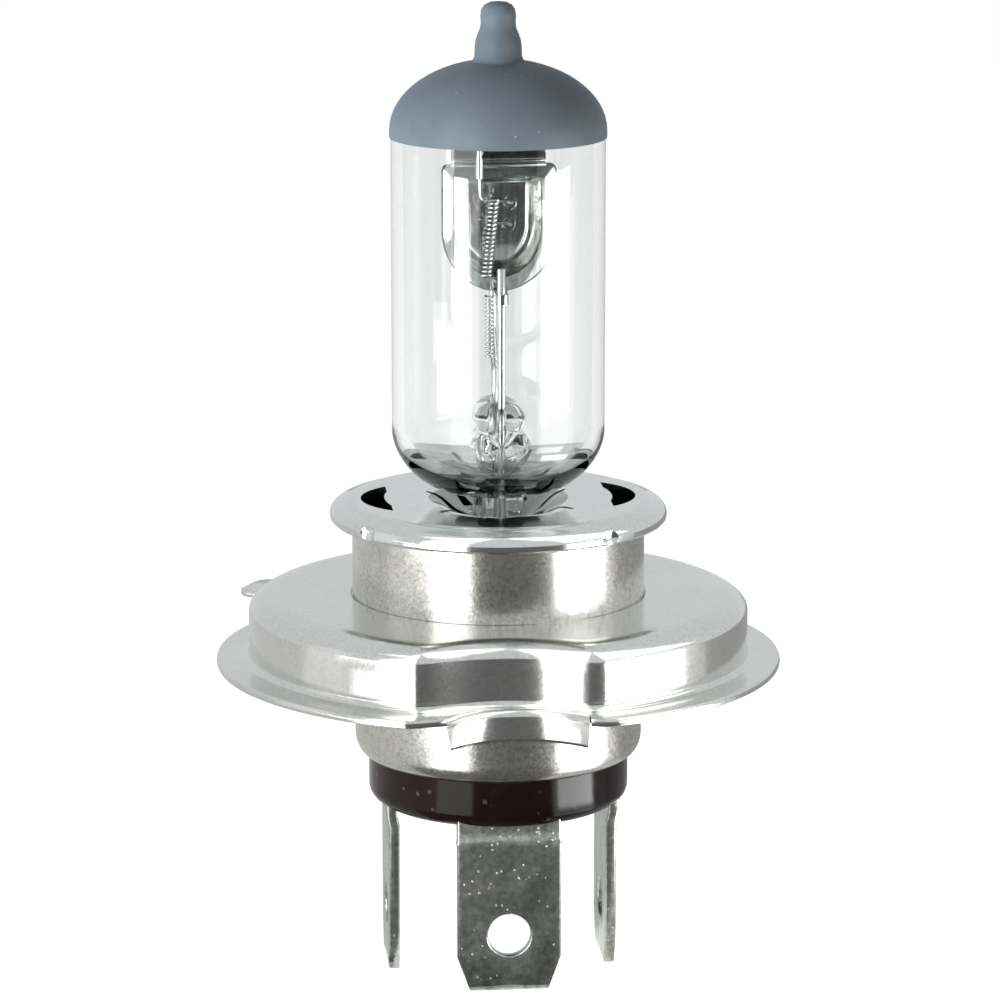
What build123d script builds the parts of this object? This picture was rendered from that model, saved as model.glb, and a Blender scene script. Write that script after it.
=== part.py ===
import os
from math import cos, sin, pi, sqrt

from build123d import *

os.makedirs("parts", exist_ok=True)

# driving dimensions, mm
flange_d = 43.0
crown_d = 38.0
crown_h = 5.4            # top plate above the flange's underside
sheet = 0.6              # mounting ring sheet
sleeve_d = 22.2
sleeve_wall = 0.5
barrel_d = 21.9
barrel_drop = 7.0        # shell below the flange
carrier_drop = 10.7      # insulator below the flange
blade_w = 7.85
blade_t = 0.8
blade_drop = 23.6        # blade tips below the flange
blade_hole_d = 3.25
blade_hole_up = 4.35     # hole centre above the blade tip
blade_pitch = 16.6       # between the two parallel blades
front_blade_y = 8.9      # outer face of the crosswise blade
cap_d = 25.6
cap_top = 12.75
cap_sheet = 0.5
glass_d = 16.1
glass_wall = 0.95
glass_shoulder = 17.9
dome_start = 40.7
dome_rise = 5.2
tip_top = 50.2
coat_start = 40.2
coat_t = 0.08
coat_gap = 0.01
pinch_x = 3.2
pinch_y = 8.0
rod_r = 0.3
rod_step = 2.4           # spacing of the three leads
low_start = 29.8
low_len = 5.7
high_start = 23.7
high_len = 4.6
coil_r = 0.32
coil_wire_r = 0.1
coil_pitch = 0.46
shield_w = 8.5
shield_start = 28.7
shield_end = 38.7
shield_sheet = 0.25
bead_w = 4.4
bead_start = 15.5
bead_end = 20.4

# sizes tied to the ones above
fit = 0.02               # clearance between pieces that touch
glass_r = glass_d / 2
bore_r = glass_r - glass_wall
crown_r = crown_d / 2
flange_r = flange_d / 2
sleeve_r = sleeve_d / 2
barrel_r = barrel_d / 2
cap_r = cap_d / 2
pinch_top = glass_shoulder - 4.5
pinch_bottom = pinch_top - 10.0
floor_z = pinch_top + 1.4
foil_len = 5.0
foil_w = 1.5
foil_t = 0.06
foil_top = pinch_bottom + 7.2
foil_bottom = foil_top - foil_len
shell_neck_top = crown_h - sheet - 1.0
sleeve_bottom = 2.0
carrier_top = -2.0


def dome_points(grow, inner_r, start, rise):
    pts = []
    for k in range(0, 8):
        a = k * 11.0 * pi / 180
        pts.append(((inner_r + grow) * cos(a), start + (rise + grow) * sin(a)))
    return pts


def outer_profile(grow, low_z):
    # closed half profile of the glass outside, from low_z up to the tip
    pts = dome_points(grow, glass_r, dome_start, dome_rise)
    pts = [p for p in pts if p[0] > 2.0 + grow]
    neck_z = pts[-1][1] + 0.12
    span = (tip_top - neck_z) / 4.35
    tip = [
        (1.68 + grow, neck_z + 0.15 * span),
        (1.66 + grow, neck_z + 1.2 * span),
        (1.42 + grow, neck_z + 1.95 * span),
        (1.24 + grow, neck_z + 2.55 * span),
        (1.26 + grow, neck_z + 3.3 * span),
        (0.94 + grow, neck_z + 4.05 * span + grow),
        (0.0, tip_top + grow),
    ]
    with BuildLine() as line:
        Line((0, low_z), (glass_r + grow, low_z))
        Line((glass_r + grow, low_z), pts[0])
        Spline(*pts, tangents=[(0, 1), (-1, 0.35)])
        Line(pts[-1], tip[0])
        Spline(*tip, tangents=[(0, 1), (-1, 0)])
        Line(tip[-1], (0, low_z))
    return line.line


def shoulder(big_r, small_r, top_z, low_z, flat=1.0):
    # quarter round between two radii; a flat above 1 draws it towards a cone
    pts = []
    for k in range(0, 7):
        a = k * 15.0 * pi / 180
        c, s = max(cos(a), 0) ** flat, max(sin(a), 0) ** flat
        pts.append((small_r + (big_r - small_r) * c, top_z - (top_z - low_z) * s))
    return pts


def rod(path_pts, radius):
    # round wire along straight runs with rounded corners
    with BuildPart() as wire:
        with BuildLine() as path:
            if len(path_pts) > 2:
                runs = [(Vector(*b) - Vector(*a)).length for a, b in zip(path_pts, path_pts[1:])]
                FilletPolyline(*path_pts, radius=min(3.0 * radius, 0.45 * min(runs)))
            else:
                Line(*path_pts)
        with BuildSketch(Plane(origin=path.line @ 0, z_dir=path.line % 0)):
            Circle(radius)
        sweep(path=path.line)
    return wire.part


def coil(start, end, legs_a, legs_b):
    # helical filament between two points, with a straight leg at each end
    axis = Vector(*end) - Vector(*start)
    length = axis.length
    with BuildPart() as spring:
        with BuildLine() as turns:
            Helix(pitch=coil_pitch, height=length, radius=coil_r, center=start, direction=axis)
        with BuildSketch(Plane(origin=turns.line @ 0, z_dir=turns.line % 0)):
            Circle(coil_wire_r)
        sweep(path=turns.line, is_frenet=True)
        for anchor, leg in ((turns.line @ 0, legs_a), (turns.line @ 1, legs_b)):
            with Locations(anchor):
                Sphere(coil_wire_r * 1.25)
            add(rod([tuple(anchor)] + leg, coil_wire_r))
    return spring.part


# positions of the leads: front, middle and back, in a row along Y
front_y = -rod_step
back_y = rod_step
low_top = low_start + low_len
high_top = high_start + high_len
rod_top = low_start + 0.9
low_a = (-0.95, -0.4, low_start)
low_b = (-0.35, -0.4, low_top)
high_a = (-0.7, -0.4, high_start)
high_b = (-0.7, -0.4, high_top)
crimp_r = 0.36
low_wire_r = 0.2
crimp_low_z = low_top + 2.1
crimp_low_x = -1.65
crimp_low_y = -2.75
behind_y = 4.6

with BuildPart() as low_filament:
    add(coil(low_a, low_b,
             [(-0.25, front_y + rod_r, low_start - 0.3)],
             [(crimp_low_x, crimp_low_y, low_top + 0.35), (crimp_low_x, crimp_low_y, crimp_low_z)]))

with BuildPart() as high_filament:
    add(coil(high_a, high_b,
             [(0.1, -0.1, high_start - 0.35), (0.1, 0.0, high_start - 0.95)],
             [(-0.15, front_y + rod_r, high_top + 0.1)]))

with BuildPart() as shield_rod:
    add(rod([(0, front_y, foil_top + fit), (0, front_y, rod_top)], rod_r))
    add(low_filament.part, mode=Mode.SUBTRACT)
    add(high_filament.part, mode=Mode.SUBTRACT)

with BuildPart() as high_lead:
    add(rod([(0, 0, foil_top + fit), (0, 0, high_start - 2.5)], rod_r))

with BuildPart() as high_crimp:
    with Locations((0.1, 0, high_start - 2.5 + fit)):
        Cylinder(crimp_r, 1.5, align=(Align.CENTER, Align.CENTER, Align.MIN))
    add(high_filament.part, mode=Mode.SUBTRACT)

with BuildPart() as low_lead:
    lead_end = crimp_low_z + 1.3 + fit
    add(rod([
        (0, back_y, foil_top + fit),
        (0, back_y, bead_end + 1.5),
        (0, behind_y, bead_end + 4.5),
        (0, behind_y, shield_end - 1.0),
    ], rod_r))
    add(rod([
        (0, behind_y, shield_end - 1.6),
        (0, behind_y, shield_end + 1.3),
        (crimp_low_x, crimp_low_y, shield_end + 1.3),
        (crimp_low_x, crimp_low_y, lead_end),
    ], low_wire_r))

with BuildPart() as low_crimp:
    with Locations((crimp_low_x, crimp_low_y, crimp_low_z - 0.1)):
        Cylinder(low_wire_r + 0.06, 1.4, align=(Align.CENTER, Align.CENTER, Align.MIN))
    add(low_filament.part, mode=Mode.SUBTRACT)

# shield: an open scoop behind the low beam filament, with a rolled hood on top
with BuildPart() as shield:
    half = shield_w / 2
    depth = 3.6
    rim_y = -0.9
    tall = shield_end - shield_start
    with BuildSketch(Plane.XY.offset(shield_start)):
        with Locations((0, rim_y)):
            Ellipse(half, depth)
            Rectangle(2 * half, depth, align=(Align.CENTER, Align.MAX), mode=Mode.SUBTRACT)
    extrude(amount=tall)
    low_edges = shield.edges().group_by(Axis.Z)[0].sort_by(Axis.Y)
    fillet(low_edges[-1], radius=2.2)
    with BuildPart(mode=Mode.SUBTRACT):
        with BuildSketch(Plane.XY.offset(shield_start + shield_sheet)):
            with Locations((0, rim_y)):
                Ellipse(half - shield_sheet, depth - shield_sheet)
                Rectangle(2 * half, depth, align=(Align.CENTER, Align.MAX), mode=Mode.SUBTRACT)
        extrude(amount=tall - 2 * shield_sheet)
        scoop_low = faces().sort_by(Axis.Z)[0].edges().sort_by(Axis.Y)[-1]
        fillet(scoop_low, radius=2.2 - shield_sheet)
    # flat lip round the opening
    with BuildSketch(Plane.XZ.offset(-rim_y)):
        with Locations((0, shield_start + tall / 2)):
            RectangleRounded(2 * half + 0.5, tall, 0.9)
            RectangleRounded(2 * half - 0.5, tall - 0.5, 0.8, mode=Mode.SUBTRACT)
    extrude(amount=shield_sheet)
    # hood that turns forward over the filament
    with Locations((0, rim_y, shield_end - shield_sheet)):
        Box(2 * half - 0.8, 0.9, shield_sheet, align=(Align.CENTER, Align.MAX, Align.MIN))
    with Locations((0, rim_y - 0.9, shield_end - 0.35)):
        Cylinder(0.35, 2 * half - 0.8, rotation=(0, 90, 0))
    # pip welded to the back of the scoop, holding it to the low beam lead
    pip_y = rim_y + depth - 0.15
    with Locations((0, pip_y, shield_start + tall / 2)):
        Box(1.6, behind_y - rod_r - fit - pip_y, 4.0,
            align=(Align.CENTER, Align.MIN, Align.CENTER))
    # strap from the lower lip to the front lead
    with Locations((0, rim_y + 0.1, shield_start)):
        Box(1.0, rim_y - front_y - rod_r - fit + 0.1, 0.3,
            align=(Align.CENTER, Align.MAX, Align.MIN))

with BuildPart() as bead:
    with Locations((0, 0, (bead_start + bead_end) / 2)):
        Box(bead_w, 2 * rod_step + 2.6, bead_end - bead_start)
    fillet(bead.edges().filter_by(Axis.Z), radius=1.4)
    fillet(bead.edges().group_by(Axis.Z)[-1], radius=1.2)
    fillet(bead.edges().group_by(Axis.Z)[0], radius=0.7)
    for y in (front_y, 0, back_y):
        with Locations((0, y, (bead_start + bead_end) / 2)):
            Cylinder(rod_r + fit, bead_end - bead_start + 2, mode=Mode.SUBTRACT)

# glass: hollow tube with a domed end, exhaust tip and a flat pinch
with BuildPart() as glass:
    with BuildSketch(Plane.XZ):
        with BuildLine():
            add(outer_profile(0, glass_shoulder))
        make_face()
        low_pts = shoulder(glass_r, 3.6, glass_shoulder, pinch_top, 1.4)
        with BuildLine():
            Line((0, glass_shoulder), (glass_r, glass_shoulder))
            Spline(*low_pts, tangents=[(0, -1), (-1, 0)])
            Line(low_pts[-1], (0, pinch_top))
            Line((0, pinch_top), (0, glass_shoulder))
        make_face()
    revolve(axis=Axis.Z)
    with Locations((0, 0, pinch_bottom)):
        Box(pinch_x, pinch_y, pinch_top - pinch_bottom + 0.5,
            align=(Align.CENTER, Align.CENTER, Align.MIN))
    with BuildPart(mode=Mode.SUBTRACT):
        with BuildSketch(Plane.XZ):
            top_pts = dome_points(0, bore_r, dome_start, dome_rise - glass_wall)
            top_pts.append((0, dome_start + dome_rise - glass_wall))
            in_pts = shoulder(bore_r, 3.0, glass_shoulder + 0.5, floor_z)
            with BuildLine():
                Line((bore_r, glass_shoulder + 0.5), (bore_r, dome_start))
                Spline(*top_pts, tangents=[(0, 1), (-1, 0)])
                Line(top_pts[-1], (0, floor_z))
                Line((0, floor_z), in_pts[-1])
                Spline(*reversed(in_pts), tangents=[(1, 0), (0, 1)])
            make_face()
        revolve(axis=Axis.Z)
    for y in (front_y, 0, back_y):
        with Locations((0, y, foil_bottom - fit)):
            Box(foil_t + 2 * fit, foil_w + 2 * fit, foil_len + 2 * fit,
                align=(Align.CENTER, Align.CENTER, Align.MIN), mode=Mode.SUBTRACT)
        with Locations((0, y, foil_top)):
            Cylinder(rod_r + fit, floor_z - foil_top + 1,
                     align=(Align.CENTER, Align.CENTER, Align.MIN), mode=Mode.SUBTRACT)
        with Locations((0, y, foil_bottom)):
            Cylinder(rod_r + fit, foil_bottom - pinch_bottom + 1,
                     align=(Align.CENTER, Align.CENTER, Align.MAX), mode=Mode.SUBTRACT)

with BuildPart() as coating:
    with BuildSketch(Plane.XZ):
        with BuildLine():
            add(outer_profile(coat_gap + coat_t, coat_start))
        make_face()
    revolve(axis=Axis.Z)
    with BuildPart(mode=Mode.SUBTRACT):
        with BuildSketch(Plane.XZ):
            with BuildLine():
                add(outer_profile(coat_gap, coat_start - 0.5))
            make_face()
        revolve(axis=Axis.Z)


def foil(y):
    with BuildPart() as strip:
        with Locations((0, y, foil_bottom)):
            Box(foil_t, foil_w, foil_len, align=(Align.CENTER, Align.CENTER, Align.MIN))
    return strip.part


with BuildPart() as foil_front:
    add(foil(front_y))
with BuildPart() as foil_middle:
    add(foil(0))
with BuildPart() as foil_back:
    add(foil(back_y))

# holder cap: flat plate with a rounded skirt, two slots, four dimples and bent tangs
with BuildPart() as cap:
    bend = 1.3
    skirt = 0.8
    with BuildSketch(Plane.XZ):
        with BuildLine():
            Line((0, cap_top), (cap_r - bend, cap_top))
            RadiusArc((cap_r - bend, cap_top), (cap_r, cap_top - bend), bend)
            Line((cap_r, cap_top - bend), (cap_r - 0.15, cap_top - bend - skirt))
            Line((cap_r - 0.15, cap_top - bend - skirt),
                 (cap_r - cap_sheet - 0.15, cap_top - bend - skirt))
            Line((cap_r - cap_sheet - 0.15, cap_top - bend - skirt),
                 (cap_r - cap_sheet, cap_top - bend))
            RadiusArc((cap_r - cap_sheet, cap_top - bend), (cap_r - bend, cap_top - cap_sheet),
                      -(bend - cap_sheet))
            Line((cap_r - bend, cap_top - cap_sheet), (0, cap_top - cap_sheet))
            Line((0, cap_top - cap_sheet), (0, cap_top))
        make_face()
    revolve(axis=Axis.Z)
    # crescent slots left and right
    slot_in = glass_r
    slot_r = 3.3
    slot_out = cap_r - 2.4
    for side in (-1, 1):
        with BuildSketch(Plane.XY.offset(cap_top + 1)):
            with Locations((side * (slot_out - slot_r), 0)):
                Circle(slot_r)
            Circle(slot_in, mode=Mode.SUBTRACT)
            with Locations((-side * 10, 0)):
                Rectangle(20, 20, mode=Mode.SUBTRACT)
        extrude(amount=-3, mode=Mode.SUBTRACT)
    # star opening for the pinch: a round hole whose edge dips, cut by radial slits
    open_r = pinch_y / 2 + 0.3
    dip_r = open_r + 1.6
    dip = 1.5
    with BuildSketch(Plane.XZ):
        Polygon((0, cap_top + 1), (dip_r + 0.9, cap_top + 1), (dip_r + 0.9, cap_top - 3),
                (0, cap_top - 3), align=None)
    revolve(axis=Axis.Z, mode=Mode.SUBTRACT)
    with BuildSketch(Plane.XZ):
        Polygon((dip_r + 0.9, cap_top), (dip_r, cap_top - 0.15), (open_r, cap_top - dip),
                (open_r, cap_top - dip - cap_sheet), (dip_r - 0.2, cap_top - 0.15 - cap_sheet),
                (dip_r + 0.9, cap_top - cap_sheet), align=None)
    revolve(axis=Axis.Z)
    for turn in (20, 62, 120, 158, 227, 318):
        with BuildSketch(Plane.XY.offset(cap_top + 1)):
            with Locations(Rotation(0, 0, turn)):
                with Locations((open_r + 0.9, 0)):
                    SlotOverall(4.6, 0.3)
        extrude(amount=-4, mode=Mode.SUBTRACT)
    # dimples pressed in the rim
    for k in range(4):
        a = (-55 + 90 * k) * pi / 180
        with Locations((cos(a) * (cap_r - 0.35), sin(a) * (cap_r - 0.35), cap_top - 0.35)):
            Sphere(0.5, mode=Mode.SUBTRACT)

with BuildPart() as sleeve:
    with Locations((0, 0, sleeve_bottom)):
        Cylinder(sleeve_r, cap_top - cap_sheet - sleeve_bottom - fit,
                 align=(Align.CENTER, Align.CENTER, Align.MIN))
        Cylinder(sleeve_r - sleeve_wall, cap_top,
                 align=(Align.CENTER, Align.CENTER, Align.MIN), mode=Mode.SUBTRACT)

# mounting ring: raised crown, flat flange, three locating lugs
with BuildPart() as ring:
    foot = 0.5
    round_w = 2.6
    round_h = 1.3
    round_x = crown_r - round_w
    round_z = crown_h - round_h
    out_pts = [(sleeve_r + fit, crown_h), (round_x, crown_h)]
    for k in range(1, 7):
        a = k * 15.0 * pi / 180
        out_pts.append((round_x + round_w * sin(a), round_z + round_h * cos(a)))
    out_pts += [(crown_r, sheet + foot), (crown_r + foot * 0.3, sheet + foot * 0.3),
                (crown_r + foot, sheet), (flange_r, sheet), (flange_r, 0),
                (crown_r + foot - sheet, 0), (crown_r - sheet, foot)]
    for k in range(6, -1, -1):
        a = k * 15.0 * pi / 180
        out_pts.append((round_x + (round_w - sheet) * sin(a), round_z + (round_h - sheet) * cos(a)))
    out_pts.append((sleeve_r + fit, crown_h - sheet))
    with BuildSketch(Plane.XZ):
        Polygon(*out_pts, align=None)
    revolve(axis=Axis.Z)
    # wide front notch: the wall steps in and a tab hangs below the flange
    notch_half = 5.3
    notch_r = 7.5
    notch_y = -(crown_r - 2.4) - notch_r
    tab_drop = 2.0
    with BuildSketch(Plane.XY.offset(crown_h + 1)):
        with Locations((0, notch_y)):
            Circle(notch_r)
        with Locations((0, -flange_r - 5)):
            Rectangle(2 * notch_half, 20, mode=Mode.INTERSECT)
    extrude(amount=-crown_h - 2, mode=Mode.SUBTRACT)
    with BuildPart():
        with BuildSketch(Plane.XY.offset(-tab_drop)):
            with Locations((0, notch_y)):
                Circle(notch_r + sheet)
                Circle(notch_r, mode=Mode.SUBTRACT)
            with Locations((0, -flange_r - 5)):
                Rectangle(2 * notch_half + 2 * sheet, 26, mode=Mode.INTERSECT)
            Circle(crown_r + 0.2, mode=Mode.INTERSECT)
        extrude(amount=crown_h - 0.5 + tab_drop)
    # lugs pressed out of the crown wall
    lug_w = 4.6
    lug_z = 3.3
    for turn in (38, 150):
        with BuildSketch(Plane.XY.offset(lug_z)):
            with Locations(Rotation(0, 0, turn)):
                with Locations((crown_r + 0.9, 0)):
                    Rectangle(4.0, lug_w)
            Circle(flange_r, mode=Mode.INTERSECT)
            Circle(crown_r - 0.3, mode=Mode.SUBTRACT)
        extrude(amount=sheet)

# base shell: lower barrel with a rolled foot and a neck inside the sleeve
with BuildPart() as shell:
    wall = 0.5
    neck_r = sleeve_r - sleeve_wall - fit
    roll = 0.8
    with BuildSketch(Plane.XZ):
        with BuildLine():
            Polyline((neck_r, shell_neck_top), (neck_r, sleeve_bottom - fit),
                     (barrel_r, sleeve_bottom - fit), (barrel_r, -barrel_drop + roll))
            RadiusArc((barrel_r, -barrel_drop + roll), (barrel_r - roll, -barrel_drop), roll)
            Polyline((barrel_r - roll, -barrel_drop), (barrel_r - roll, -barrel_drop + wall),
                     (barrel_r - wall, -barrel_drop + roll + 0.2),
                     (barrel_r - wall, sleeve_bottom - fit - wall),
                     (neck_r - wall, sleeve_bottom - fit - wall), (neck_r - wall, shell_neck_top),
                     (neck_r, shell_neck_top))
        make_face()
    revolve(axis=Axis.Z)

# terminal carrier: solid insulator that closes the shell
with BuildPart() as carrier:
    body_r = barrel_r - 0.95
    foot_r = body_r - 0.3
    top_r = barrel_r - 0.5 - 0.1
    with BuildSketch(Plane.XZ):
        with BuildLine():
            Polyline((0, carrier_top), (top_r, carrier_top), (top_r, -barrel_drop + 1.2),
                     (body_r, -barrel_drop + 0.3), (body_r, -barrel_drop - 0.3),
                     (foot_r, -carrier_drop + 0.9), (foot_r - 0.8, -carrier_drop),
                     (0, -carrier_drop), (0, carrier_top))
        make_face()
    revolve(axis=Axis.Z)
    side_x = blade_pitch / 2
    for side in (-1, 1):
        with Locations((side * side_x, 0, -6)):
            Box(blade_t + 2 * fit, blade_w + 2 * fit, 20, mode=Mode.SUBTRACT)
    with Locations((0, -front_blade_y + blade_t / 2, -6)):
        Box(blade_w + 2 * fit, blade_t + 2 * fit, 20, mode=Mode.SUBTRACT)
    with Locations((0, 0, carrier_top)):
        Cylinder(5.0, 3.0, align=(Align.CENTER, Align.CENTER, Align.CENTER), mode=Mode.SUBTRACT)


def blade():
    # upright terminal, centred on Z, face towards Y, with a drilled hole and cut corners
    top_z = carrier_top + 1.2
    half_w = blade_w / 2
    with BuildPart() as tab:
        with BuildSketch(Plane.XZ.offset(-blade_t / 2)):
            Polygon((-half_w, top_z), (half_w, top_z), (half_w, -blade_drop + 2.8),
                    (half_w - 0.95, -blade_drop), (-half_w + 0.95, -blade_drop),
                    (-half_w, -blade_drop + 2.8), align=None)
            with Locations((0, -blade_drop + blade_hole_up)):
                Circle(blade_hole_d / 2, mode=Mode.SUBTRACT)
        extrude(amount=blade_t)
    return tab.part


with BuildPart() as blade_front:
    with Locations((0, -front_blade_y + blade_t / 2, 0)):
        add(blade())
with BuildPart() as blade_left:
    with Locations(Location((-blade_pitch / 2, 0, 0), (0, 0, 90))):
        add(blade())
with BuildPart() as blade_right:
    with Locations(Location((blade_pitch / 2, 0, 0), (0, 0, 90))):
        add(blade())

# outer leads from the pinch down to the blades
weld_z = carrier_top + 0.6
wire_top = foil_bottom - fit
turn_z = pinch_bottom - 1.0
with BuildPart() as wire_front:
    end_y = -front_blade_y + blade_t + rod_r + fit
    add(rod([(0, front_y, wire_top), (0, front_y, turn_z), (0, end_y, turn_z - 1.5),
             (0, end_y, weld_z)], rod_r))
with BuildPart() as wire_left:
    end_x = -blade_pitch / 2 + blade_t / 2 + rod_r + fit
    add(rod([(0, 0, wire_top), (0, 0, turn_z), (end_x, 0, turn_z - 1.5),
             (end_x, 0, weld_z)], rod_r))
with BuildPart() as wire_right:
    end_x = blade_pitch / 2 - blade_t / 2 - rod_r - fit
    add(rod([(0, back_y, wire_top), (0, back_y, turn_z), (end_x, 2.0, turn_z - 1.5),
             (end_x, 2.0, weld_z)], rod_r))

glass.part.label = "glass_envelope"
export_step(glass.part, "parts/glass_envelope.step")
coating.part.label = "dome_coating"
export_step(coating.part, "parts/dome_coating.step")
low_filament.part.label = "low_beam_filament"
export_step(low_filament.part, "parts/low_beam_filament.step")
high_filament.part.label = "high_beam_filament"
export_step(high_filament.part, "parts/high_beam_filament.step")
shield.part.label = "low_beam_shield"
export_step(shield.part, "parts/low_beam_shield.step")
shield_rod.part.label = "shield_rod"
export_step(shield_rod.part, "parts/shield_rod.step")
low_lead.part.label = "low_beam_lead"
export_step(low_lead.part, "parts/low_beam_lead.step")
low_crimp.part.label = "low_beam_crimp"
export_step(low_crimp.part, "parts/low_beam_crimp.step")
high_lead.part.label = "high_beam_lead"
export_step(high_lead.part, "parts/high_beam_lead.step")
high_crimp.part.label = "high_beam_crimp"
export_step(high_crimp.part, "parts/high_beam_crimp.step")
bead.part.label = "glass_bead"
export_step(bead.part, "parts/glass_bead.step")
foil_front.part.label = "foil_front"
export_step(foil_front.part, "parts/foil_front.step")
foil_middle.part.label = "foil_middle"
export_step(foil_middle.part, "parts/foil_middle.step")
foil_back.part.label = "foil_back"
export_step(foil_back.part, "parts/foil_back.step")
cap.part.label = "holder_cap"
export_step(cap.part, "parts/holder_cap.step")
sleeve.part.label = "holder_sleeve"
export_step(sleeve.part, "parts/holder_sleeve.step")
ring.part.label = "mounting_ring"
export_step(ring.part, "parts/mounting_ring.step")
shell.part.label = "base_shell"
export_step(shell.part, "parts/base_shell.step")
carrier.part.label = "terminal_carrier"
export_step(carrier.part, "parts/terminal_carrier.step")
blade_front.part.label = "front_blade"
export_step(blade_front.part, "parts/front_blade.step")
blade_left.part.label = "left_blade"
export_step(blade_left.part, "parts/left_blade.step")
blade_right.part.label = "right_blade"
export_step(blade_right.part, "parts/right_blade.step")
wire_front.part.label = "front_wire"
export_step(wire_front.part, "parts/front_wire.step")
wire_left.part.label = "left_wire"
export_step(wire_left.part, "parts/left_wire.step")
wire_right.part.label = "right_wire"
export_step(wire_right.part, "parts/right_wire.step")

print("overall length", tip_top + coat_t + blade_drop, "flange", flange_d)
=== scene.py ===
import math

import bpy
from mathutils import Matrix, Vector


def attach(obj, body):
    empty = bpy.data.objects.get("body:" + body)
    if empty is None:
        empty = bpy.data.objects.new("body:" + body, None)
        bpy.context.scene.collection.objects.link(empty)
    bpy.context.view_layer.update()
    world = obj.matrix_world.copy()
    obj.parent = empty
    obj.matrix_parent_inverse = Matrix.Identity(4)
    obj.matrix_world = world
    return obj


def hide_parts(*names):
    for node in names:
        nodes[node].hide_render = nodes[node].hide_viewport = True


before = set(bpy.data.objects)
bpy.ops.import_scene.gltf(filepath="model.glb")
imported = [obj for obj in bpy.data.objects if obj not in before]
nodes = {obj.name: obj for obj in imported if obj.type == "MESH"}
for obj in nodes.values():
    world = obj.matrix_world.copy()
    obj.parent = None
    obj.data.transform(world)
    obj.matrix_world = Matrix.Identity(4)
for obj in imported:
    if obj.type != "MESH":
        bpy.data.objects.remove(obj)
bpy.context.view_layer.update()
mm = 0.001


def inMm(values):
    return [v * mm for v in values]


def deselectAll():
    if bpy.context.object and bpy.context.object.mode != "OBJECT":
        bpy.ops.object.mode_set(mode="OBJECT")
    bpy.ops.object.select_all(action="DESELECT")


def only(piece):
    deselectAll()
    piece.select_set(True)
    bpy.context.view_layer.objects.active = piece


def edit(mode="VERT"):
    bpy.ops.object.mode_set(mode="EDIT")
    bpy.ops.mesh.select_mode(type=mode)


def done():
    bpy.ops.object.mode_set(mode="OBJECT")


def pick(piece, test, kind="VERT"):
    # selects vertices, edges or faces by their place (in mm) and normal
    only(piece)
    edit(kind)
    done()
    data = piece.data
    for item in (*data.vertices, *data.edges, *data.polygons):
        item.select = False
    if kind == "VERT":
        for v in data.vertices:
            v.select = test(v.co / mm)
    elif kind == "EDGE":
        for e in data.edges:
            a, b = (data.vertices[i].co / mm for i in e.vertices)
            e.select = test(a, b)
    else:
        for p in data.polygons:
            p.select = test(p.center / mm, p.normal)
    bpy.ops.object.mode_set(mode="EDIT")


def useModifier(piece, kind, **settings):
    only(piece)
    mod = piece.modifiers.new(kind.title(), kind)
    for key, value in settings.items():
        setattr(mod, key, value)
    bpy.ops.object.modifier_apply(modifier=mod.name)


def settle(piece, angle=35):
    # place goes into the mesh, then smooth shading with crisp edges
    only(piece)
    bpy.ops.object.transform_apply(location=True, rotation=True, scale=True)
    bpy.ops.object.shade_smooth_by_angle(angle=math.radians(angle))


def join(first, *others):
    deselectAll()
    for o in others:
        o.select_set(True)
    first.select_set(True)
    bpy.context.view_layer.objects.active = first
    bpy.ops.object.join()
    return first


def merge(piece, gap=0.0005):
    # welds vertices that meet and turns the faces outwards
    only(piece)
    edit()
    bpy.ops.mesh.select_all(action="SELECT")
    bpy.ops.mesh.remove_doubles(threshold=gap * mm)
    bpy.ops.mesh.normals_make_consistent(inside=False)
    done()


def finish(piece, name, slot, *replaced, look=None):
    piece.name = name
    if look:
        piece.data.materials.clear()
        piece.data.materials.append(look)
    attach(piece, "root")
    if replaced:
        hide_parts(*replaced)
    return piece


def arc(cx, cz, r, start, end, count=8):
    # points of an arc in the profile plane, angles in degrees, r may be a pair
    rx, rz = r if isinstance(r, tuple) else (r, r)
    out = []
    for k in range(count + 1):
        a = math.radians(start + (end - start) * k / count)
        out.append((cx + rx * math.cos(a), cz + rz * math.sin(a)))
    return out


def lathe(profile, steps=128):
    # one vertex, extruded along the profile (radius, height) and spun round Z
    deselectAll()
    bpy.ops.mesh.primitive_plane_add(size=mm, location=(0, 0, 0))
    piece = bpy.context.object
    edit()
    bpy.ops.mesh.select_all(action="SELECT")
    bpy.ops.mesh.merge(type="CENTER")
    bpy.ops.transform.translate(value=(profile[0][0] * mm, 0, profile[0][1] * mm))
    for a, b in zip(profile, profile[1:]):
        step = ((b[0] - a[0]) * mm, 0, (b[1] - a[1]) * mm)
        bpy.ops.mesh.extrude_region_move(TRANSFORM_OT_translate={"value": step})
    bpy.ops.mesh.select_all(action="SELECT")
    bpy.ops.mesh.spin(steps=steps, angle=2 * math.pi, center=(0, 0, 0), axis=(0, 0, 1))
    done()
    merge(piece)
    return piece


def cut(piece, tool, how="DIFFERENCE"):
    useModifier(piece, "BOOLEAN", object=tool, operation=how, solver="EXACT")
    bpy.data.objects.remove(tool)


def box(size, place, turn=0):
    deselectAll()
    bpy.ops.mesh.primitive_cube_add(size=1, location=inMm(place), rotation=(0, 0, math.radians(turn)),
                                    scale=inMm(size))
    piece = bpy.context.object
    bpy.ops.object.transform_apply(location=True, rotation=True, scale=True)
    return piece


def drum(radius, height, place, turn=(0, 0, 0), sides=96):
    deselectAll()
    bpy.ops.mesh.primitive_cylinder_add(vertices=sides, radius=radius * mm, depth=height * mm,
                                        location=inMm(place), rotation=[math.radians(v) for v in turn])
    piece = bpy.context.object
    bpy.ops.object.transform_apply(location=True, rotation=True, scale=True)
    return piece


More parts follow.
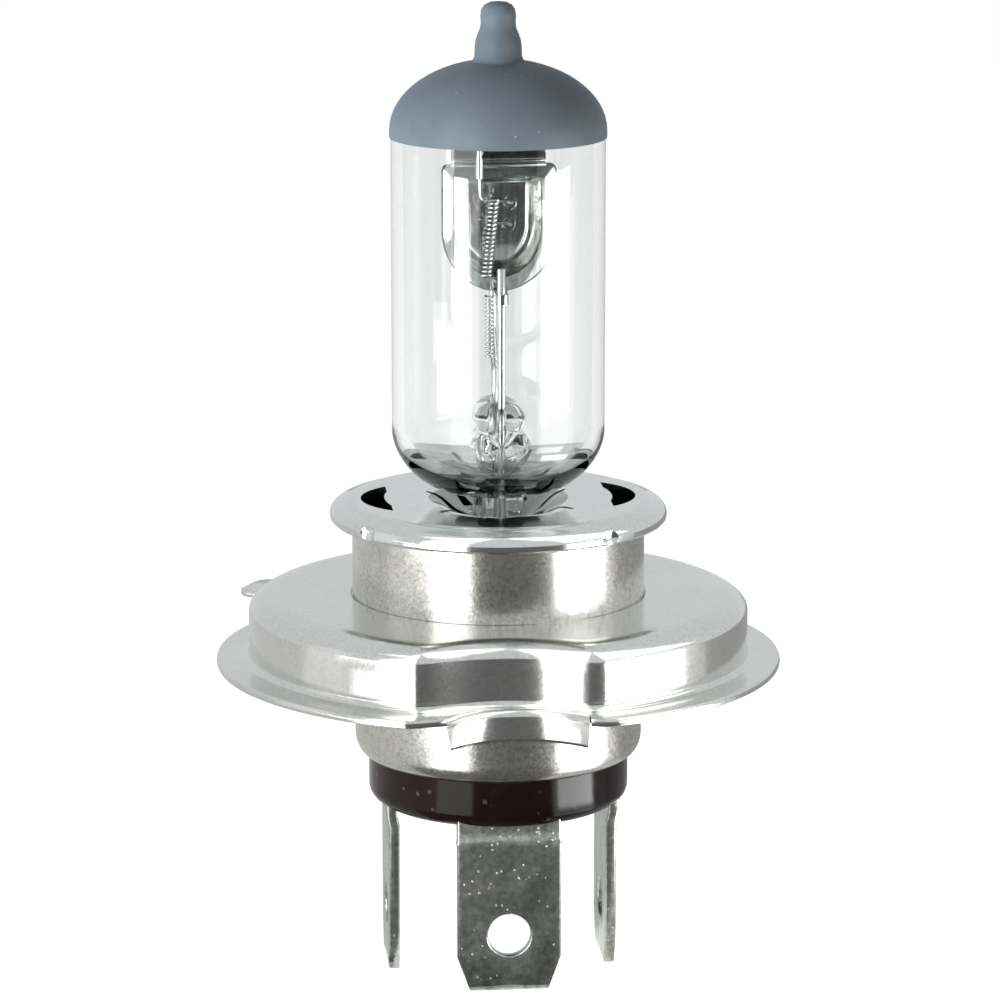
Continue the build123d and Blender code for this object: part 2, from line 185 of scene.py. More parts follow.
def ball(radius, place, stretch=(1, 1, 1), sides=32):
    deselectAll()
    bpy.ops.mesh.primitive_uv_sphere_add(segments=sides, ring_count=sides // 2, radius=radius * mm,
                                         location=inMm(place), scale=stretch)
    piece = bpy.context.object
    bpy.ops.object.transform_apply(location=True, rotation=True, scale=True)
    return piece


def plate(points, thick):
    # flat outline (x, z) filled and extruded along Y, centred on y 0
    deselectAll()
    bpy.ops.mesh.primitive_plane_add(size=mm, location=(0, 0, 0))
    piece = bpy.context.object
    edit()
    bpy.ops.mesh.select_all(action="SELECT")
    bpy.ops.mesh.merge(type="CENTER")
    bpy.ops.transform.translate(value=(points[0][0] * mm, -thick / 2 * mm, points[0][1] * mm))
    for a, b in zip(points, points[1:]):
        step = ((b[0] - a[0]) * mm, 0, (b[1] - a[1]) * mm)
        bpy.ops.mesh.extrude_region_move(TRANSFORM_OT_translate={"value": step})
    bpy.ops.mesh.select_all(action="SELECT")
    bpy.ops.mesh.edge_face_add()
    if thick:
        bpy.ops.mesh.extrude_region_move(TRANSFORM_OT_translate={"value": (0, thick * mm, 0)})
        bpy.ops.mesh.select_all(action="SELECT")
        bpy.ops.mesh.normals_make_consistent(inside=False)
    done()
    return piece


def sliceAt(piece, place, facing, clear=None):
    # cuts through at a plane; clear "outer" drops the side the plane faces and closes the cut
    only(piece)
    edit()
    bpy.ops.mesh.select_all(action="SELECT")
    bpy.ops.mesh.bisect(plane_co=inMm(place), plane_no=facing, use_fill=bool(clear),
                        clear_outer=clear == "outer", clear_inner=clear == "inner")
    done()


def shift(piece, test, by=(0, 0, 0), scale=None, centre=(0, 0, 0)):
    # moves or scales the vertices that the test picks
    pick(piece, test)
    if scale:
        bpy.ops.transform.resize(value=scale, center_override=inMm(centre))
    bpy.ops.transform.translate(value=inMm(by))
    done()


def softenEdges(piece, size, steps=3, angle=35):
    useModifier(piece, "BEVEL", width=size * mm, segments=steps, limit_method="ANGLE",
                angle_limit=math.radians(angle), harden_normals=False)


def copyOf(piece):
    only(piece)
    bpy.ops.object.duplicate(linked=False)
    return bpy.context.object


def wire(points, radius, name="wire", smooth=True, resolution=5):
    # round wire along points in mm
    curve = bpy.data.curves.new(name, "CURVE")
    curve.dimensions = "3D"
    curve.bevel_depth = radius * mm
    curve.bevel_resolution = resolution
    curve.use_fill_caps = True
    line = curve.splines.new("NURBS" if smooth else "POLY")
    line.points.add(len(points) - 1)
    for point, place in zip(line.points, points):
        point.co = (place[0] * mm, place[1] * mm, place[2] * mm, 1)
    if smooth:
        line.order_u = 3
        line.use_endpoint_u = True
        line.resolution_u = 8
    piece = bpy.data.objects.new(name, curve)
    bpy.context.scene.collection.objects.link(piece)
    only(piece)
    bpy.ops.object.convert(target="MESH")
    piece = bpy.context.object
    merge(piece)
    return piece


class Socket:
    def __init__(self, tree, link):
        self.tree, self.link = tree, link

    def math(self, how, *others):
        node = self.tree.nodes.new("ShaderNodeMath")
        node.operation = how
        for slot, value in zip(node.inputs, (self, *others)):
            if isinstance(value, Socket):
                self.tree.links.new(value.link, slot)
            else:
                slot.default_value = value
        return Socket(self.tree, node.outputs[0])

    def flip(self, how, other):
        node = self.tree.nodes.new("ShaderNodeMath")
        node.operation = how
        node.inputs[0].default_value = other
        self.tree.links.new(self.link, node.inputs[1])
        return Socket(self.tree, node.outputs[0])

    def __add__(self, other):
        return self.math("ADD", other)

    def __radd__(self, other):
        return self.math("ADD", other)

    def __sub__(self, other):
        return self.math("SUBTRACT", other)

    def __rsub__(self, other):
        return self.flip("SUBTRACT", other)

    def __mul__(self, other):
        return self.math("MULTIPLY", other)

    def __rmul__(self, other):
        return self.math("MULTIPLY", other)

    def __truediv__(self, other):
        return self.math("DIVIDE", other)

    def __pow__(self, other):
        return self.math("POWER", other)

    def above(self, other):
        return self.math("GREATER_THAN", other)

    def below(self, other):
        return self.math("LESS_THAN", other)


class Look:
    # a material under construction
    def __init__(self, name, **fixed):
        self.material = bpy.data.materials.new(name)
        self.material.use_nodes = True
        self.tree = self.material.node_tree
        self.shader = self.tree.nodes["Principled BSDF"]
        for key, value in fixed.items():
            self.shader.inputs[key.replace("_", " ")].default_value = value

    def node(self, kind, settings=None, out=0, **values):
        node = self.tree.nodes.new(kind)
        for key, value in (settings or {}).items():
            if key == "stops":
                ramp = node.color_ramp
                while len(ramp.elements) > 1:
                    ramp.elements.remove(ramp.elements[-1])
                for i, (place, colour) in enumerate(value):
                    stop = ramp.elements[0] if i == 0 else ramp.elements.new(place)
                    stop.position = place
                    stop.color = colour if len(colour) == 4 else (*colour, 1)
            else:
                setattr(node, key, value)
        for key, value in values.items():
            numbered = key[0] == "i" and key[1:].isdigit()
            slot = node.inputs[int(key[1:]) if numbered else key.replace("_", " ")]
            if isinstance(value, Socket):
                self.tree.links.new(value.link, slot)
            else:
                slot.default_value = value
        return Socket(self.tree, node.outputs[out])

    def place(self, out="Object"):
        node = self.tree.nodes.new("ShaderNodeTexCoord")
        return Socket(self.tree, node.outputs[out])

    def stretch(self, vector, scale, turn=(0, 0, 0)):
        return self.node("ShaderNodeMapping", Vector=vector, Scale=scale, Rotation=turn)

    def noise(self, vector, scale, detail=4.0, rough=0.55, distort=0.0):
        return self.node("ShaderNodeTexNoise", Vector=vector, Scale=scale, Detail=detail,
                         Roughness=rough, Distortion=distort)

    def cells(self, vector, scale, feature="F1"):
        return self.node("ShaderNodeTexVoronoi", {"feature": feature}, Vector=vector, Scale=scale)

    def ramp(self, value, *stops):
        return self.node("ShaderNodeValToRGB", {"stops": stops}, Fac=value)

    def mix(self, factor, a, b, how="MIX"):
        return self.node("ShaderNodeMix", {"data_type": "RGBA", "blend_type": how}, out=2,
                         i0=factor, i6=a, i7=b)

    def bump(self, height, strength, distance, normal=None):
        values = {"Height": height, "Strength": strength, "Distance": distance * mm}
        if normal:
            values["Normal"] = normal
        return self.node("ShaderNodeBump", **values)

    def feed(self, **sockets):
        for key, value in sockets.items():
            self.tree.links.new(value.link, self.shader.inputs[key.replace("_", " ")])
        return self.material


def axes(look, vector):
    node = look.tree.nodes.new("ShaderNodeSeparateXYZ")
    look.tree.links.new(vector.link, node.inputs[0])
    return [Socket(look.tree, node.outputs[i]) for i in range(3)]


def clearGlass(name, tint):
    look = Look(name, Base_Color=tint, Roughness=0.0, IOR=1.47, Transmission_Weight=1.0)
    place = look.place()
    wave = look.noise(look.stretch(place, (90, 90, 25)), 1.0, 2.0)
    return look.feed(Normal=look.bump(wave, 0.1, 0.05))


def domePaint():
    look = Look("domePaint", Roughness=0.55, Specular_IOR_Level=0.35)
    place = look.place()
    x, y, z = axes(look, place)
    cloud = look.noise(place, 160, 3.0)
    grain = look.noise(place, 1800, 3.0, 0.7)
    speck = look.cells(place, 1700).below(0.12) * look.noise(place, 420, 1.0).above(0.6)
    base = look.ramp(cloud * 0.7 + grain * 0.3, (0.3, (0.1, 0.132, 0.158)), (0.7, (0.145, 0.188, 0.225)))
    tone = look.mix(speck * 0.6, base, (0.42, 0.46, 0.48, 1))
    return look.feed(Base_Color=tone, Roughness=0.5 + grain * 0.18,
                     Normal=look.bump(grain + speck * 0.5, 0.25, 0.03))


def platedSteel(name, colour, low, high, pits=1.0, paintedShadeRadius=0):
    look = Look(name, Metallic=1.0)
    place = look.place()
    cloud = look.noise(place, 130, 4.0, 0.6)
    grain = look.noise(place, 5200, 2.0, 0.6)
    mottle = look.noise(place, 2300, 3.0, 0.6)
    dark = tuple(c * (1 - 0.3 * pits) for c in colour)
    tone = look.ramp(cloud * 0.3 + mottle * 0.3 + grain * 0.4, (0.38, dark), (0.56, colour))
    if paintedShadeRadius:
        # painted shade: inside this radius, round the pinch and under the glass, the bent petals get a darker
        # colour that stands in for the shade there
        x, y, z = axes(look, place)
        inside = (x * x + y * y).below((paintedShadeRadius * mm) ** 2)
        tone = look.mix(inside * 0.8, tone, (0.16, 0.18, 0.155, 1))
    rough = low + (high - low) * (cloud * 0.4 + grain * 0.6)
    return look.feed(Base_Color=tone, Roughness=rough,
                     Normal=look.bump(grain * 0.6 + mottle * 0.4, 0.5 * pits, 0.02))


def wireMetal(name, colour, rough):
    look = Look(name, Metallic=1.0)
    place = look.place()
    draw = look.noise(look.stretch(place, (4000, 4000, 260)), 1.0, 3.0)
    tone = look.ramp(draw, (0.3, tuple(c * 0.7 for c in colour)), (0.7, colour))
    return look.feed(Base_Color=tone, Roughness=rough + draw * 0.12, Normal=look.bump(draw, 0.15, 0.01))


def carrierPlastic():
    look = Look("carrierPlastic", IOR=1.45, Specular_IOR_Level=0.2, Coat_Roughness=0.08)
    place = look.place()
    cloud = look.noise(place, 260, 4.0)
    speck = look.cells(place, 1100).below(0.2) * look.noise(place, 300, 1.0).above(0.5)
    base = look.ramp(cloud, (0.3, (0.005, 0.0025, 0.002)), (0.75, (0.013, 0.006, 0.005)))
    tone = look.mix(speck * 0.6, base, (0.09, 0.06, 0.055, 1))
    return look.feed(Base_Color=tone, Roughness=0.08 + cloud * 0.09, Coat_Weight=0.02 + cloud * 0.08,
                     Normal=look.bump(cloud + speck * 0.4, 0.2, 0.04))


def tinnedBlade():
    look = Look("tinnedBlade", Metallic=1.0)
    place = look.place()
    cloud = look.noise(place, 240, 5.0, 0.65)
    grain = look.noise(place, 2400, 3.0, 0.7)
    scratch = look.noise(look.stretch(place, (1500, 1500, 60), (0.05, 0.0, 0.03)), 1.0, 3.0)
    speck = look.cells(place, 2300).below(0.2) * look.noise(place, 520, 1.0).above(0.52)
    tone = look.ramp(cloud * 0.45 + grain * 0.4 + scratch * 0.15,
                     (0.36, (0.24, 0.26, 0.235)), (0.5, (0.45, 0.475, 0.44)), (0.62, (0.68, 0.69, 0.66)))
    return look.feed(Base_Color=look.mix(speck * 0.45, tone, (0.95, 0.95, 0.93, 1)),
                     Roughness=0.2 + cloud * 0.12 + grain * 0.1 + speck * 0.3,
                     Normal=look.bump(grain * 0.6 + scratch * 0.4 + speck, 0.45, 0.03))


glassLook = clearGlass("clearGlass", (0.868, 0.88, 0.876, 1))
beadLook = clearGlass("beadGlass", (0.96, 0.97, 0.965, 1))
domeLook = domePaint()
# the cap's last number is the radius of the painted shade round the pinch
capLook = platedSteel("capSteel", (0.75, 0.76, 0.745), 0.07, 0.17, 0.35, 5.3)
ringLook = platedSteel("ringSteel", (0.73, 0.735, 0.71), 0.1, 0.22, 0.45)
sleeveLook = platedSteel("sleeveSteel", (0.7, 0.69, 0.65), 0.13, 0.28, 1.0)
shellLook = platedSteel("shellSteel", (0.68, 0.67, 0.64), 0.14, 0.3, 1.1)
shieldLook = wireMetal("shieldMetal", (0.58, 0.6, 0.58), 0.06)
leadLook = wireMetal("leadMetal", (0.75, 0.75, 0.73), 0.22)
filamentLook = wireMetal("filamentWire", (0.85, 0.85, 0.85), 0.15)
foilLook = wireMetal("foilMetal", (0.5, 0.5, 0.5), 0.3)
carrierLook = carrierPlastic()
bladeLook = tinnedBlade()
frontBladeLook = tinnedBlade()
print("materials done")


# glass tube with a domed end and a flat pinch below; cone above 1 draws the shoulder towards a cone
glass = {"radius": 8.05, "wall": 0.95, "shoulder": 17.9, "shoulderFoot": 3.6, "pinchTop": 13.4,
         "domeStart": 40.7, "domeRise": 5.2, "cone": 1.15, "pinch": (3.2, 8.0, 10.4), "pinchMiddle": 8.9, "pinchEdge": 0.35,
         "floorRadius": 3.0, "floorRise": 3.6, "sides": 160}
coating = {"inside": 0.01, "outside": 0.09, "rim": 40.2}


def outsideProfile(grow):
    r, start, rise = glass["radius"] + grow, glass["domeStart"], glass["domeRise"] + grow
    dome = arc(0, start, (r, rise), 0, 75, 14)
    tip = [(1.85, 45.85), (1.68, 46.2), (1.66, 46.9), (1.6, 47.4), (1.42, 47.9), (1.25, 48.3), (1.21, 48.7),
           (1.24, 49.2), (1.17, 49.65), (0.93, 49.98), (0.55, 50.15), (0, 50.2)]
    return dome + [(x + (grow if x > 0 else 0), z + grow * (1 - x / 2)) for x, z in tip]


def makeGlass():
    g = glass
    foot, drop = g["shoulderFoot"], g["shoulder"] - g["pinchTop"]
    low = []
    for k in range(13):
        a = math.radians(90 - 7.5 * k)
        low.append((foot + (g["radius"] - foot) * max(math.cos(a), 0) ** g["cone"],
                    g["shoulder"] - drop * max(math.sin(a), 0) ** g["cone"]))
    outer = lathe([(0, g["pinchTop"])] + low + outsideProfile(0), g["sides"])
    deselectAll()
    bpy.ops.mesh.primitive_cube_add(size=1, location=(0, 0, g["pinchMiddle"] * mm), scale=inMm(g["pinch"]))
    pinch = bpy.context.object
    edit("EDGE")
    bpy.ops.mesh.select_all(action="SELECT")
    bpy.ops.mesh.bevel(offset=g["pinchEdge"] * mm, segments=3)
    settle(pinch)
    cut(outer, pinch, "UNION")
    r = g["radius"] - g["wall"]
    floor = arc(g["floorRadius"], g["shoulder"] + 0.5, (r - g["floorRadius"], g["floorRise"]), -90, 0, 10)
    dome = arc(0, g["domeStart"], (r, g["domeRise"] - g["wall"]), 0, 90, 14)
    inner = lathe([(0, floor[0][1])] + floor + dome, g["sides"])
    only(inner)
    edit()
    bpy.ops.mesh.select_all(action="SELECT")
    bpy.ops.mesh.flip_normals()
    done()
    whole = join(outer, inner)
    settle(whole, 50)
    return finish(whole, "glassTube", "clear_glass", "glass_envelope", look=glassLook)


def makeCoating():
    outside = outsideProfile(coating["outside"])
    inside = outsideProfile(coating["inside"])
    rim = coating["rim"]
    loop = [(outside[0][0], rim)] + outside + [(0, inside[-1][1])] + inside[::-1][1:]
    loop += [(inside[0][0], rim), (outside[0][0], rim)]
    paint = lathe(loop, glass["sides"])
    settle(paint, 50)
    return finish(paint, "domeCoat", "dome_paint", "dome_coating", look=domeLook)


makeGlass()
makeCoating()
print("glass and coating done")


# mounting ring: crown, foot, flange, pushed-in front notch with its tab, and two side lugs
ring = {"crown": 19.0, "height": 5.4, "sheet": 0.6, "flange": 21.5, "hole": 11.12, "bend": (2.6, 1.3),
        "foot": 0.5, "notchRadius": 10.0, "notchDepth": 2.75, "notchSide": -1.5, "notchBlend": 1.9, "notchFade": (13.2, 5.2),
        "tabRadius": 6.55, "tabPlace": -24.0, "tabSide": -0.45, "tabDrop": 1.8, "notchHalf": 5.2,
        "lugWidth": 4.6, "lugHeight": 3.3, "lugTurns": (38, 150), "lugCorner": 1.3}


def pushNotch(piece):
    # the drawn sheet steps inwards at the front, with soft corners and a slow fade into the plate
    r = ring
    cx, cy = r["notchSide"], r["notchDepth"] - r["crown"] - r["notchRadius"]
    blend = r["notchBlend"]
    fadeFrom, fadeOver = r["notchFade"]
    for v in piece.data.vertices:
        x, y, z = v.co / mm
        far = math.hypot(x, y)
        ux, uy = x / far, y / far
        along = cx * ux + cy * uy
        inside = r["notchRadius"] ** 2 - (cx * cx + cy * cy - along * along)
        if far < fadeFrom or y > 0 or inside <= 0:
            continue
        wall = along - math.sqrt(inside)
        h = max(blend - abs(wall - r["crown"]), 0) / blend
        step = r["crown"] - (min(wall, r["crown"]) - h * h * blend / 4)
        fade = min(max((far - fadeFrom) / fadeOver, 0), 1)
        fade = fade * fade * (3 - 2 * fade)
        v.co.x -= step * fade * ux * mm
        v.co.y -= step * fade * uy * mm


def makeTab():
    r = ring
    centre, front = -r["tabPlace"], r["tabRadius"]
    low = -r["tabDrop"]
    loop = [(front, low + 0.28), (front, 0.05)] + arc(front + 0.54, 0.05, 0.54, 180, 90, 6)[1:]
    loop += [(front + 1.3, 0.59), (front + 1.3, 0.01), (front + 0.62, 0.01), (front + 0.62, low)]
    loop += [(front + 0.25, low)]
    tab = lathe(loop + [loop[0]], 256)
    shift(tab, lambda v: True, (r["tabSide"], -centre, 0))
    half = r["notchHalf"]
    keep = plate([(-half, 1.2), (-half, 0.2), (0.42 - half, low - 0.2), (half - 0.12, low - 0.2),
                  (half, 0.2), (half, 1.2)], 8)
    shift(keep, lambda v: True, (r["tabSide"], 6 - centre, 0))
    cut(tab, keep, "INTERSECT")
    return tab, centre, front


def makeRing():
    r = ring
    crown, top, t = r["crown"], r["height"], r["sheet"]
    bend, foot = r["bend"], r["foot"]
    outer = [(r["hole"] + 0.15, top), (12.2, top), (13.2, top), (14.2, top), (15.2, top)]
    outer += arc(crown - bend[0], top - bend[1], bend, 90, 0, 12) + [(crown, 3.2), (crown, 2.3), (crown, 1.2)]
    outer += arc(crown + foot, t + foot, foot, 180, 270, 5) + [(20.2, t), (20.9, t), (21.3, t)]
    outer += arc(r["flange"] - 0.15, t / 2, (0.15, t / 2), 90, -90, 6)
    inner = [(20.6, 0), (19.9, 0)] + arc(crown + foot, t + foot, t + foot, 270, 180, 6)
    inner += [(crown - t, 2.3), (crown - t, 3.2)]
    inner += arc(crown - bend[0], top - bend[1], (bend[0] - t, bend[1] - t), 0, 90, 10)
    inner += [(15.2, top - t), (13.2, top - t), (r["hole"], top - t), (r["hole"], top - 0.15)]
    piece = lathe(outer + inner + [outer[0]], 288)
    pushNotch(piece)
    tab, centre, front = makeTab()
    gap = drum(front + 0.45, 1.5, (r["tabSide"], -centre, 0.05), sides=160)
    sides = box((2 * r["notchHalf"] + 0.12, 30, 4), (r["tabSide"], -centre, 0))
    cut(gap, sides, "INTERSECT")
    cut(piece, gap)
    cut(piece, tab, "UNION")
    for turn in r["lugTurns"]:
        lug = box((3.0, r["lugWidth"], 0.5), (19.95, 0, r["lugHeight"] + 0.25))
        pick(lug, lambda a, b: a.x > 20 and b.x > 20 and abs(a.z - b.z) > 0.2, "EDGE")
        bpy.ops.mesh.bevel(offset=r["lugCorner"] * mm, segments=8)
        done()
        softenEdges(lug, 0.12, 2)
        only(lug)
        lug.rotation_euler.z = math.radians(turn)
        bpy.ops.object.transform_apply(location=True, rotation=True, scale=True)
        cut(piece, lug, "UNION")
    settle(piece, 32)
    return finish(piece, "mountingRing", "base_steel", "mounting_ring", look=ringLook)


makeRing()
print("mounting ring done")


# holder cap: flat plate, rolled rim, two crescent slots, four rim dimples and the star opening round the pinch;
# each slit is given by the place of its outer end
cap = {"radius": 12.8, "top": 12.75, "sheet": 0.5, "slotRadius": 5.4, "slotPlace": 5.05, "slotInner": 8.65,
       "slotSide": 8.3, "dimples": (-145, -55, 35, 125), "dimpleBall": 1.05, "dimplePlace": (13.45, 13.42),
       "dimpleDown": 1.0,
       "slits": ((-5.2, -5.7), (-5.3, 2.2), (-3.7, 6.1), (5.5, -5.2), (5.3, 2.0), (3.8, 6.9)),
       "slitLength": 3.0, "slitWidth": 0.95, "starDip": 1.55, "starRadius": 7.9, "stretchDeep": 0.42, "stretchWide": -0.1,
       "petalRadius": 5.9, "petalHeight": 0.24}


def bendPetals(piece):
    # the opening is longer front to back, as the pinch is, and its petals are uneven
    c = cap
    for v in piece.data.vertices:
        far = math.hypot(v.co.x, v.co.y) / mm
        if far >= c["starRadius"]:
            continue
        grow = min(max((c["starRadius"] - far) / 3.5, 0), 1)
        inner = min(max((c["petalRadius"] - far) / 2.2, 0), 1)
        turn = math.atan2(v.co.y, v.co.x)
        petals = math.cos(5 * turn + 0.6) + 0.5 * math.cos(9 * turn)
        v.co.z += (c["petalHeight"] * petals - 0.2) * inner * mm
        v.co.y *= 1 + c["stretchDeep"] * grow
        v.co.x *= 1 + c["stretchWide"] * grow


def makeCap():
    c = cap
    top, t, edge, dip = c["top"], c["sheet"], c["radius"], c["starDip"]
    star = [(2.2, top - dip - 0.1), (2.7, top - dip), (3.2, top - dip * 0.86), (3.7, top - dip * 0.66)]
    star += [(4.2, top - dip * 0.42), (4.7, top - dip * 0.2), (5.2, top - dip * 0.06), (5.8, top)]
    outer = star + [(6.8, top), (8.0, top), (9.4, top), (10.6, top)]
    outer += arc(10.9, top - 0.55, (0.9, 0.55), 90, 35, 5)
    outer += arc(11.75, top - 1.2, (edge - 11.75, 0.95), 62, 0, 8)
    outer += [(12.76, 11.3), (12.6, 11.12), (12.42, 11.08), (12.22, 11.15)]
    inner = [(12.2, 11.3)] + arc(11.6, top - 1.3, (0.65, 0.7), 0, 80, 5)
    inner += [(10.9, top - t), (9.4, top - t), (8.0, top - t), (5.9, top - t)]
    inner += [(x, z - t) for x, z in star[::-1]]
    piece = lathe(outer + inner + [outer[0]], 224)
    bendPetals(piece)
    for side in (-1, 1):
        slot = drum(c["slotRadius"], 3, (side * c["slotPlace"], 0, top))
        cut(slot, drum(c["slotInner"], 4, (0, 0, top)))
        keep = box((12, 12, 6), (side * (c["slotSide"] + 6), 0, top))
        cut(slot, keep, "INTERSECT")
        cut(piece, slot)
    for x, y in c["slits"]:
        slit = box((c["slitLength"], c["slitWidth"], 4), (0, 0, top - 0.9))
        shift(slit, lambda v: v.x > 0, scale=(1, 0.35, 1))
        slit.rotation_euler.z = math.radians(math.degrees(math.atan2(y, x)))
        slit.location = (x * 0.74 * mm, y * 0.74 * mm, 0)
        settle(slit)
        cut(piece, slit)
    for turn in c["dimples"]:
        a = math.radians(turn)
        place = (math.cos(a) * c["dimplePlace"][0], math.sin(a) * c["dimplePlace"][1], top - c["dimpleDown"])
        cut(piece, ball(c["dimpleBall"], place, sides=32))
    settle(piece, 30)
    return finish(piece, "holderCap", "base_steel", "holder_cap", look=capLook)


makeCap()
print("holder cap done")


# sleeve between cap and crown
sleeve = {"radius": 11.1, "wall": 0.5, "low": 2.02, "top": 12.2}


def makeSleeve():
    s = sleeve
    r, w = s["radius"], s["wall"]
    loop = [(r - 0.08, s["low"]), (r, s["low"] + 0.12), (r, 5.2), (r, 5.6), (r, 8.0), (r, 10.4)]
    loop += [(r - 0.1, s["top"] - 0.3)] + arc(r - 0.4, s["top"] - 0.3, 0.3, 0, 90, 4)
    loop += [(r - w, s["top"]), (r - w, 8.0), (r - w, s["low"]), loop[0]]
    piece = lathe(loop, 192)
    settle(piece, 30)
    return finish(piece, "holderSleeve", "base_steel", "holder_sleeve", look=sleeveLook)


makeSleeve()

# base shell: barrel below the flange, curled in over the carrier, with a neck up inside the sleeve
shell = {"radius": 10.95, "wall": 0.5, "low": -7.0, "neck": 10.56, "neckTop": 3.8, "step": 1.96}


def makeShell():
    s = shell
    r, w, low = s["radius"], s["wall"], s["low"]
    neck, neckTop, step = s["neck"], s["neckTop"], s["step"]
    loop = [(neck, neckTop), (neck, step + 0.1), (neck + 0.1, step), (r - 0.2, step), (r, step - 0.2)]
    loop += [(r, 0.0), (r, -2.0), (r, -4.0)] + arc(r - 1.0, low + 1.5, (1.0, 1.5), 0, -80, 9)
    loop += [(r - 0.98, low), (r - 1.02, low + 0.12)] + arc(r - 1.0, low + 1.6, (0.5, 1.2), -85, 0, 7)
    loop += [(r - w, -2.0), (r - w, 0.0), (r - w, step - w), (neck - w, step - w), (neck - w, neckTop)]
    loop.append(loop[0])
    piece = lathe(loop, 192)
    settle(piece, 30)
    return finish(piece, "baseShell", "base_steel", "base_shell", look=shellLook)


makeShell()
print("sleeve and shell done")


# terminal carrier: moulded insulator with a slot for each blade
carrier = {"radius": 9.93, "low": -10.7, "top": -2.0, "inShell": 10.3, "corner": 1.15, "slotGap": 0.04}
bladeRow = {"width": 7.85, "thick": 0.8, "low": -23.6, "top": -0.8, "hole": 1.62, "holeUp": 4.35,
            "fold": -12.05, "foldStep": 0.2, "foldEar": 1.015, "chamfer": (0.95, 2.6), "edge": 0.16,
            "spread": 8.3, "front": -8.5}


def makeCarrier():
    c = carrier
    k = c["corner"]
    r, top, low, wide = c["radius"], c["top"], c["low"], c["inShell"]
    loop = [(0, top), (5.0, top), (wide - 0.3, top), (wide, top - 0.3), (wide, -5.4), (r - 0.15, -6.3)]
    loop += [(r - 0.15, -6.9), (r, -7.05), (r, -8.6)] + arc(r - k, low + k, k, 0, -90, 8)
    loop += [(7.0, low), (4.2, low), (3.9, low + 0.5), (0, low + 0.5)]
    piece = lathe(loop, 160)
    b = bladeRow
    for x, y, turn in ((0, b["front"], 0), (-b["spread"], 0, 90), (b["spread"], 0, 90)):
        size = (b["width"] + c["slotGap"], b["thick"] + c["slotGap"], 11)
        cut(piece, box(size, (x, y, -6.5), turn))
    softenEdges(piece, 0.1, 2, 50)
    settle(piece, 35)
    return finish(piece, "terminalCarrier", "carrier_plastic", "terminal_carrier", look=carrierLook)


def makeBlades():
    b = bladeRow
    half, (cx, cz) = b["width"] / 2, b["chamfer"]
    low = b["low"]
    outline = [(-half, b["top"]), (-half, low + cz), (-half + cx, low), (half - cx, low), (half, low + cz)]
    outline.append((half, b["top"]))
    first = plate(outline, b["thick"])
    cut(first, drum(b["hole"], 3, (0, 0, low + b["holeUp"]), (90, 0, 0), 64))
    fold, step = b["fold"], b["foldStep"]
    for z in (fold + 0.35, fold, fold - 0.35, fold + 1.0):
        sliceAt(first, (0, 0, z), (0, 0, 1))
    # the upper part is set back a little, with small ears where the sheet was folded
    shift(first, lambda v: v.z > fold + 0.9, (0, step, 0))
    shift(first, lambda v: fold + 0.2 < v.z < fold + 0.5, (0, step * 0.45, 0))
    shift(first, lambda v: abs(v.z - fold) < 0.05 and v.y < 0, (0, -0.05, 0))
    shift(first, lambda v: abs(v.z - fold) < 0.05, scale=(b["foldEar"], 1, 1), centre=(0, 0, fold))
    softenEdges(first, b["edge"], 3, 40)
    settle(first, 32)
    made = []
    for name, node, x, y, turn in (("frontBlade", "front_blade", 0, b["front"], 0),
                                   ("leftBlade", "left_blade", -b["spread"], 0, 90),
                                   ("rightBlade", "right_blade", b["spread"], 0, -90)):
        piece = copyOf(first)
        piece.rotation_euler.z = math.radians(turn)
        piece.location = (x * mm, y * mm, 0)
        settle(piece, 32)
        made.append(finish(piece, name, "blade_metal", node, look=bladeLook if turn else frontBladeLook))
    bpy.data.objects.remove(first)
    return made


makeCarrier()
makeBlades()
print("carrier and blades done")


# shield: pressed scoop behind the low beam filament, sloping lip, rolled hood on top;
# each step of the pressing goes inwards and back by these amounts
shield = {"half": 4.25, "low": 28.75, "sideLow": 33.3, "top": 38.3, "corner": 0.5, "lipPlane": -0.9,
          "sheet": 0.22, "lipWidth": 0.12, "lipRise": 0.05, "sideRows": (34.5, 35.8, 37.0),
          "steps": ((0.1, 0.08), (0.72, 0.22), (0.1, 0.15), (0.2, 0.9), (0.2, 1.1), (0.14, 0.45), (0.2, 0.2),
                    (0.3, 0.08)),
          "rollRadius": 0.72, "rollHalf": 3.5, "hoodSide": -0.15, "grooveRadius": 0.16,
          "dimples": ((-1.25, 35.3), (-1.3, 33.7), (1.2, 34.95), (1.1, 33.3)), "dimpleRadius": 0.48,
          "dimpleRim": 0.09, "leadFace": 4.28, "pipMiddle": 33.6}


def pressScoop():
    s = shield
    half, top, corner = s["half"], s["top"], s["corner"]
    bowl = arc(0, s["sideLow"], (half, s["sideLow"] - s["low"]), 180, 360, 28)
    corners = arc(half - corner, top - corner, corner, 0, 90, 4)
    corners += arc(-half + corner, top - corner, corner, 90, 180, 4)
    right = [(half, z) for z in s["sideRows"]]
    left = [(-half, z) for z in s["sideRows"][::-1]]
    piece = plate(bowl + right + corners + left, 0)
    pick(piece, lambda c, n: True, "FACE")
    if piece.data.polygons[0].normal.y > 0:
        bpy.ops.mesh.flip_normals()
    bpy.ops.transform.translate(value=(0, s["lipPlane"] * mm, 0))
    bpy.ops.mesh.inset(thickness=s["lipWidth"] * mm, depth=-s["lipRise"] * mm)
    middle = (s["low"] + top) / 2
    wide, tall = half - s["lipWidth"], (top - s["low"]) / 2 - s["lipWidth"]
    for inward, back in s["steps"]:
        bpy.ops.mesh.extrude_region_move(TRANSFORM_OT_translate={"value": (0, back * mm, 0)})
        bpy.ops.transform.resize(value=(1 - inward / wide, 1, 1 - inward / tall),
                                 center_override=(0, 0, middle * mm))
        wide, tall = wide - inward, tall - inward
    done()
    useModifier(piece, "SOLIDIFY", thickness=s["sheet"] * mm, offset=-1)
    merge(piece)
    return piece


